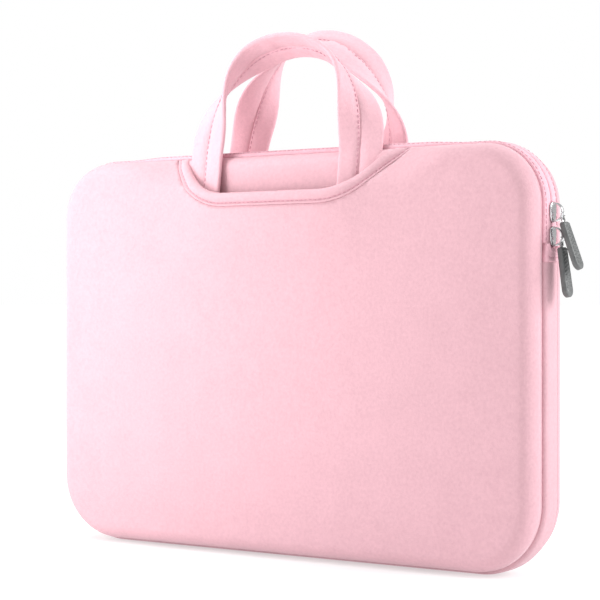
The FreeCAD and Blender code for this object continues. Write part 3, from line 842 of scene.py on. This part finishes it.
class Pull:
    """A link and a grip that hang from a joint's pivot at an angle away from the sleeve."""

    def __init__(self, joint, angle):
        place = next(j["pos_m"] for j in frame["joints"] if j["name"] == joint)
        self.pivot = np.array(place) / MM
        self.down = np.array([math.sin(math.radians(angle)), 0, -math.cos(math.radians(angle))])
        self.out = np.array([math.cos(math.radians(angle)), 0, math.sin(math.radians(angle))])
        self.side = np.array([0.0, 1.0, 0.0])

    def place(self, down, side, out=0.0):
        return self.pivot + self.down * down + self.side * side + self.out * out

    def link(self, name, material):
        """A closed wire ring with round corners."""
        half, length, bend = LINK_HALF_WIDTH, LINK_LENGTH, LINK_BEND
        corners = [(bend, half - bend, 0), (bend, bend - half, 90),
                   (length - bend, bend - half, 180), (length - bend, half - bend, 270)]
        line = []
        for down, side, start in corners:
            for step in range(7):
                turn = math.radians(start + 15 * step)
                line.append((down - bend * math.cos(turn), side + bend * math.sin(turn)))
        count = len(line)
        rows = []
        for k, (down, side) in enumerate(line):
            ahead = np.array(line[(k + 1) % count]) - np.array(line[k - 1])
            ahead /= np.linalg.norm(ahead)
            ring = []
            for spin in np.linspace(0, 2 * math.pi, 12, endpoint=False):
                lift = WIRE_RADIUS * math.sin(spin)
                across = WIRE_RADIUS * math.cos(spin)
                ring.append(self.place(down - ahead[1] * across, side + ahead[0] * across, lift))
            rows.append(ring)
        return tube(name, rows, material, closed=True)

    def grip(self, name, material):
        """The rubber grip: a rounded bar with a sunk panel of plain ribs on its outer face."""
        start, end, low_half = GRIP_START, GRIP_END, GRIP_LOW_HALF
        rows = []
        heights = np.concatenate([
            [start, start + 0.12, start + 0.4, start + 0.8],
            np.arange(start + 1.2, end - low_half, 0.3),
            end - low_half + low_half * np.sin(np.linspace(0, 0.985, 14) * math.pi / 2),
        ])
        for down in heights:
            half = GRIP_TOP_HALF + (low_half - GRIP_TOP_HALF) * smoothstep(start, end - 6, down)
            run_out = np.clip((down - (end - low_half)) / low_half, 0, 1)
            half = half * math.sqrt(max(1 - run_out ** 2, 0.004))
            lip = 1 - 0.38 * (1 - smoothstep(start, start + 0.9, down))
            half *= 1 - 0.1 * (1 - smoothstep(start, start + 0.9, down))
            deep = GRIP_THICK * lip * (1 - 0.35 * run_out ** 3)
            ring = []
            for across, lift in rounded_square(72, 0.5, offset=0.5):
                side = across * half
                out = lift * deep
                if lift > 0.6:
                    out -= panel_cut(down, side, half)
                ring.append(self.place(down, side, out))
            rows.append(ring)
        return tube(name, rows, material)


def panel_cut(down, side, half):
    """How deep the grip's outer face is cut: a long sunk panel with slanted ribs left in it."""
    below_top = smoothstep(GRIP_START + 2.0, GRIP_START + 2.6, down)
    above_end = 1 - smoothstep(GRIP_END - 3.6, GRIP_END - 3.0, down)
    between_edges = 1 - smoothstep(half - 1.35, half - 0.95, abs(side))
    wave = math.sin(2 * math.pi * (down + 0.45 * side) / RIB_PITCH)
    rib = smoothstep(-0.1, 0.5, wave) * (1 - smoothstep(half - 2.0, half - 1.7, abs(side)))
    return float(below_top * above_end * between_edges * (PANEL_CUT - RIB_HEIGHT * rib))


# ---------------------------------------------------------------- materials

class Nodes:
    """A material's node tree with short calls for adding and joining nodes."""

    def __init__(self, name):
        self.material = bpy.data.materials.new(name)
        self.material.use_nodes = True
        self.tree = self.material.node_tree
        self.shader = self.tree.nodes["Principled BSDF"]

    def add(self, kind, **values):
        node = self.tree.nodes.new(kind)
        for key, value in values.items():
            if key in node.inputs:
                node.inputs[key].default_value = value
            else:
                setattr(node, key, value)
        return node

    def join(self, start, end):
        self.tree.links.new(start, end)

    def place(self, stretch=(1, 1, 1)):
        """Object coordinates in metres, stretched."""
        coordinates = self.add("ShaderNodeTexCoord")
        mapping = self.add("ShaderNodeMapping", Scale=stretch)
        self.join(coordinates.outputs["Object"], mapping.inputs["Vector"])
        return mapping.outputs["Vector"]

    def noise(self, place, scale, detail=2.0, roughness=0.5):
        node = self.add("ShaderNodeTexNoise", Scale=scale, Detail=detail, Roughness=roughness)
        self.join(place, node.inputs["Vector"])
        return node.outputs["Fac"]

    def cells(self, place, scale, randomness=0.7):
        node = self.add("ShaderNodeTexVoronoi", Scale=scale, Randomness=randomness)
        self.join(place, node.inputs["Vector"])
        return node.outputs["Distance"]

    def waves(self, place, scale, distortion=0.0, direction="DIAGONAL"):
        node = self.add("ShaderNodeTexWave", Scale=scale, Distortion=distortion)
        node.bands_direction = direction
        self.join(place, node.inputs["Vector"])
        return node.outputs["Fac"]

    def blend(self, share, first, second):
        """A colour between two, by a value."""
        ramp = self.add("ShaderNodeValToRGB")
        ramp.color_ramp.elements[0].position = 0.3
        ramp.color_ramp.elements[1].position = 0.7
        ramp.color_ramp.elements[0].color = (*first, 1)
        ramp.color_ramp.elements[1].color = (*second, 1)
        self.join(share, ramp.inputs["Fac"])
        return ramp.outputs["Color"]

    def multiply(self, first, second, share=1.0):
        node = self.add("ShaderNodeMix", data_type="RGBA", blend_type="MULTIPLY")
        node.inputs[0].default_value = share
        self.join(first, node.inputs[6])
        self.join(second, node.inputs[7])
        return node.outputs[2]

    def bump(self, height, distance, strength=1.0, below=None):
        node = self.add("ShaderNodeBump", Strength=strength, Distance=distance)
        self.join(height, node.inputs["Height"])
        if below is not None:
            self.join(below, node.inputs["Normal"])
        return node.outputs["Normal"]

    def surface(self, colour, normal=None, **sockets):
        self.join(colour, self.shader.inputs["Base Color"])
        if normal is not None:
            self.join(normal, self.shader.inputs["Normal"])
        for key, value in sockets.items():
            self.shader.inputs[key.replace("_", " ")].default_value = value
        return self.material


def shade(colour, share):
    return tuple(min(1.0, part * share) for part in colour)


def grey(level):
    return (level, level, level)


def knit(name, colour, cell=0.9, depth=0.00016, roughness=0.86):
    """Fine jersey on neoprene: small loops, a faint mottle, and a soft bloom at grazing angles."""
    look = Nodes(name)
    place = look.place()
    loops = look.cells(look.place((1.0, 1.0, 0.8)), 1000 / cell)
    mottle = look.noise(place, 45, 4, 0.6)
    grain = look.noise(place, 520, 3, 0.6)
    base = look.blend(mottle, shade(colour, 0.972), shade(colour, 1.02))
    specks = look.blend(grain, (0.91, 0.89, 0.90), (1.0, 1.0, 1.0))
    both = look.multiply(base, specks)
    normal = look.bump(loops, depth, 0.55)
    normal = look.bump(grain, 0.0003, 0.5, normal)
    return look.surface(both, normal, Roughness=roughness, Sheen_Weight=0.35,
                        Sheen_Roughness=0.45, Sheen_Tint=(1.0, 0.86, 0.90, 1.0),
                        Specular_IOR_Level=0.25)


WAVE_PERIOD = 6.28      # of the wave texture, at a scale of 1


def woven(name, colour, thread=0.7, roughness=0.8, ribs="X"):
    """Woven tape: fine ribs with a noise of uneven threads."""
    look = Nodes(name)
    place = look.place()
    ribs_value = look.waves(place, 1000 / thread / WAVE_PERIOD, 0.6, ribs)
    cross = look.cells(place, 1000 / thread)
    tint = look.noise(place, 300, 3)
    base = look.blend(tint, shade(colour, 0.93), shade(colour, 1.03))
    normal = look.bump(ribs_value, 0.00012, 0.5)
    normal = look.bump(cross, 0.0002, 0.6, normal)
    return look.surface(base, normal, Roughness=roughness, Sheen_Weight=0.2,
                        Sheen_Roughness=0.5, Specular_IOR_Level=0.3)


def thread(name, colour):
    """Twisted sewing thread."""
    look = Nodes(name)
    place = look.place()
    twist = look.waves(place, 420, 1.0)
    base = look.blend(twist, shade(colour, 0.86), shade(colour, 1.04))
    return look.surface(base, look.bump(twist, 0.00008, 0.6), Roughness=0.6, Sheen_Weight=0.15)


def open_foam(name, colour):
    look = Nodes(name)
    cells = look.cells(look.place(), 900, 1.0)
    base = look.blend(cells, shade(colour, 0.85), colour)
    return look.surface(base, look.bump(cells, 0.0003, 0.8), Roughness=0.95)


def polished_metal(name):
    """Nickel plate with faint smears and fine scratches."""
    look = Nodes(name)
    place = look.place()
    smear = look.noise(place, 160, 3)
    scratch = look.noise(look.place((1, 1, 14)), 900, 2)
    base = look.blend(smear, (0.56, 0.56, 0.57), (0.70, 0.70, 0.71))
    normal = look.bump(scratch, 0.00003, 0.25)
    return look.surface(base, normal, Metallic=1.0, Roughness=0.17)


def moulded_rubber(name):
    """Satin dark grey rubber with a very fine moulded grain."""
    look = Nodes(name)
    place = look.place()
    grain = look.cells(place, 2600, 1.0)
    cloud = look.noise(place, 240, 3)
    base = look.blend(cloud, (0.105, 0.11, 0.11), (0.145, 0.15, 0.15))
    return look.surface(base, look.bump(grain, 0.00005, 0.4), Roughness=0.42,
                        Specular_IOR_Level=0.45)


PAINTED_SHADOW_STRETCH = (1 / 0.34, 1 / 0.16, 1.0)      # the stretch of the floor's painted shadow round the sleeve's foot


def floor_look():
    """Pale paper with a faint painted glow, weaker round the sleeve, which leaves a painted soft
    shadow there.
    """
    look = Nodes("floor_paper_painted_glow")
    tone = look.noise(look.place(), 3, 2)
    base = look.blend(tone, grey(0.44), grey(0.46))
    nearness = look.add("ShaderNodeTexGradient", gradient_type="SPHERICAL")
    look.join(look.place(PAINTED_SHADOW_STRETCH), nearness.inputs["Vector"])
    # painted light: the floor glows, and glows less round the sleeve's foot, which paints its shadow
    # there
    painted_glow_and_shadow = look.blend(nearness.outputs["Fac"], grey(0.74), grey(0.46))
    look.join(painted_glow_and_shadow, look.shader.inputs["Emission Color"])
    return look.surface(base, None, Roughness=0.9, Emission_Strength=1.0)


# ---------------------------------------------------------------- putting the sleeve together

PINK = (0.68, 0.407, 0.455)
face_knit = knit("knit_face", PINK)
band_knit = knit("knit_band", shade(PINK, 0.97))
edge_knit = knit("knit_binding", PINK, cell=0.8)
# the face pink made 13% lighter for the handles: painted light
strap_knit_painted_lighter = knit("knit_strap_painted_lighter", shade(PINK, 1.13), cell=0.8)
# the face pink made 10% lighter for the shell inside the mouth: painted light
shell_knit_painted_lighter = knit("knit_shell_painted_lighter", shade(PINK, 1.1))
tape_cloth = woven("zip_tape_cloth", (0.78, 0.44, 0.51))
seam_cloth = woven("seam_tape_cloth", (0.72, 0.40, 0.46))
lining_cloth = knit("lining_cloth", (0.70, 0.40, 0.45), cell=1.3, depth=0.0001)
foam_look = open_foam("foam_cells", (0.85, 0.80, 0.78))
coil_look = woven("coil_nylon", (0.78, 0.40, 0.48), roughness=0.45)
stitch_thread = thread("stitch_thread", (0.60, 0.29, 0.36))
metal = polished_metal("nickel_plate")
rubber = moulded_rubber("grip_rubber")


def on_flap(piece):
    """Bakes the placement of a piece of the front's fabric into its mesh."""
    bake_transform(piece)


def finish_piece(nodes=()):
    """Hides the CAD nodes that a piece stands for."""
    if nodes:
        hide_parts(*nodes)


def face_pieces(word, side):
    """Every soft layer of the front or of the rear."""
    front = side == FRONT

    def nodes(layer):
        return [f"front_{layer}_upper", f"front_{layer}_lower"] if front else [f"rear_{layer}"]

    low = lining_low[1]
    layers = [
        (flat_layer(f"{word}_lining_cloth", side, low, lining_high[1], 0.9, lining_cloth),
         "lining", nodes("lining")),
        (flat_layer(f"{word}_foam_board", side, foam_low[1], foam_high[1] - 0.3, 5.0, foam_look),
         "foam", nodes("foam")),
        (inner_shell(f"{word}_inner_shell", side, shell_knit_painted_lighter), "knit", nodes("shell")),
        (outer_panel(f"{word}_padded_panel", side, face_knit), "knit", nodes("pocket_panel")),
        (pocket_binding(f"{word}_mouth_binding", side, edge_knit), "binding",
         [f"{word}_pocket_binding"]),
        (binding_stitches(f"{word}_mouth_stitches", side, stitch_thread), "binding", []),
        (zip_half(f"{word}_zip_half", side, tape_cloth), "zip_tape", [f"{word}_zip_tape"]),
        (zip_stitches(f"{word}_zip_stitches", side, stitch_thread), "zip_tape", []),
        (zip_teeth(f"{word}_zip_teeth", side, coil_look), "zip_coil", [f"{word}_zip_coil"]),
        (inside_tape(f"{word}_inside_tape", side, seam_cloth), "seam_tape", nodes("seam_tape")),
    ]
    for piece, slot, covered in layers:
        finish_piece(covered)
        if front:
            on_flap(piece)
        else:
            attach(piece, "root")


def inside_tape(name, side, material):
    """The rolled tape over the raw seam, inside the compartment."""
    stations, normals = seam_stations(3.5)
    section = [(8.0, -1.4), (7.2, -1.0), (6.5, -1.6), (6.4, -2.6), (6.8, -3.5), (7.6, -3.7),
               (8.1, -3.2)]
    rows = []
    for y, out in section:
        rows.append(np.column_stack([stations[:, 0] + normals[:, 0] * out,
                                     np.full(len(stations), side * y),
                                     stations[:, 1] + normals[:, 1] * out]))
    return tube(name, np.stack(rows, axis=1), material, closed=True)


def gusset_pieces():
    band = gusset_band("gusset_strip", band_knit)
    finish_piece(["gusset_band"])
    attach(band, "root")
    stations, normals = part_of_rim(3.5, high=node_box("gusset_lining")[1][2])
    section = [(-7.0, -1.9), (0, -0.9), (7.0, -1.9), (7.0, -2.3), (0, -1.5), (-7.0, -2.3)]
    inside = rim_sweep("gusset_inside", section, stations, normals, lining_cloth)
    finish_piece(["gusset_lining"])
    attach(inside, "root")
    for word, sign in (("left", -1), ("right", 1)):
        tab = zip_end_tab(f"{word}_end_tab", sign, tape_cloth)
        finish_piece([f"{word}_zip_end_tab"])
        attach(tab, "root")
        seam = tab_stitches(f"{word}_end_tab_stitches", sign, stitch_thread)
        finish_piece()
        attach(seam, "root")


def handle_pieces(word, side):
    handle = Handle(side)
    strap = handle.strap(f"{word}_carry_strap", strap_knit_painted_lighter)
    finish_piece([f"{word}_handle_strap", f"{word}_handle_core",
                                  f"{word}_handle_anchors"])
    seams = handle.stitches(f"{word}_strap_stitches", stitch_thread)
    finish_piece()
    for piece in (strap, seams):
        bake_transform(piece)


def slider_pieces(word, angle):
    low, high = node_box(f"{word}_slider_body")
    plate = slider_plate(f"{word}_slider_plate", low, high, metal)
    finish_piece([f"{word}_slider_body"])
    neck = slider_neck(f"{word}_slider_neck", low, high, metal)
    finish_piece()
    bridge = slider_bridge(f"{word}_slider_arch", *node_box(f"{word}_slider_bridge"), metal)
    finish_piece([f"{word}_slider_bridge"])
    for piece in (plate, neck, bridge):
        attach(piece, f"{word}_slider")
    pull = Pull(f"{word}_pull_swing", angle)
    link = pull.link(f"{word}_pull_ring", metal)
    finish_piece([f"{word}_pull_link"])
    grip = pull.grip(f"{word}_pull_tab", rubber)
    finish_piece([f"{word}_pull_grip"])
    for piece in (link, grip):
        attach(piece, f"{word}_pull")


face_pieces("front", FRONT)
face_pieces("rear", REAR)
gusset_pieces()
handle_pieces("front", FRONT)
handle_pieces("rear", REAR)
slider_pieces("upper", 20.0)
slider_pieces("lower", 8.0)


# ---------------------------------------------------------------- floor, light and camera

def add_floor():
    mesh = bpy.data.meshes.new("floor")
    reach = 40.0
    mesh.from_pydata([(-reach, -reach, 0), (reach, -reach, 0), (reach, reach, 0),
                      (-reach, reach, 0)], [], [(0, 1, 2, 3)])
    mesh.materials.append(floor_look())
    floor = bpy.data.objects.new("floor", mesh)
    floor.location.z = -0.0002
    bpy.context.scene.collection.objects.link(floor)


def add_light(name, place, target, size, power):
    data = bpy.data.lights.new(name, "AREA")
    data.shape = "DISK"
    data.size = size
    data.energy = power
    light = bpy.data.objects.new(name, data)
    light.location = place
    light.rotation_euler = (Vector(target) - Vector(place)).to_track_quat("-Z", "Y").to_euler()
    light.visible_camera = False
    bpy.context.scene.collection.objects.link(light)


def add_world(strength, backdrop):
    """An even white studio: strength lights the sleeve, and backdrop is what shows behind it."""
    world = bpy.data.worlds.new("studio")
    world.use_nodes = True
    nodes = world.node_tree.nodes
    links = world.node_tree.links
    light = nodes["Background"]
    light.inputs["Color"].default_value = (1, 1, 1, 1)
    light.inputs["Strength"].default_value = strength
    seen = nodes.new("ShaderNodeBackground")
    seen.inputs["Strength"].default_value = backdrop
    seen.inputs["Color"].default_value = (1, 1, 1, 1)
    rays = nodes.new("ShaderNodeLightPath")
    choice = nodes.new("ShaderNodeMixShader")
    links.new(rays.outputs["Is Camera Ray"], choice.inputs[0])
    links.new(light.outputs[0], choice.inputs[1])
    links.new(seen.outputs[0], choice.inputs[2])
    links.new(choice.outputs[0], nodes["World Output"].inputs["Surface"])
    bpy.context.scene.world = world


CAMERA_TURN = math.radians(34.5)
CAMERA_DISTANCE = 1.115
CAMERA_HEIGHT = 0.158
CAMERA_ASIDE = 0.0032


def add_camera():
    data = bpy.data.cameras.new("camera")
    data.sensor_width = 36.0
    data.lens = 107.8
    camera = bpy.data.objects.new("camera", data)
    camera.location = (
        CAMERA_DISTANCE * math.sin(CAMERA_TURN) + CAMERA_ASIDE * math.cos(CAMERA_TURN),
        -CAMERA_DISTANCE * math.cos(CAMERA_TURN) + CAMERA_ASIDE * math.sin(CAMERA_TURN),
        CAMERA_HEIGHT,
    )
    camera.rotation_euler = (math.radians(90), 0, CAMERA_TURN)
    bpy.context.scene.collection.objects.link(camera)
    bpy.context.scene.camera = camera


add_floor()
bpy.context.scene.view_settings.view_transform = "Standard"
add_world(0.62, 1.0)
add_light("key", (-0.28, -0.36, 0.185), (-0.15, 0, 0.13), 0.30, 1.42)
add_light("upper", (-0.20, -0.30, 0.42), (-0.02, 0, 0.28), 0.25, 0.36)
add_light("top", (-0.28, -0.12, 0.85), (0, 0, 0.29), 0.4, 3.3)
add_light("right", (1.3, 0.45, 0.75), (0.17, 0, 0.15), 0.9, 19.0)
add_camera()
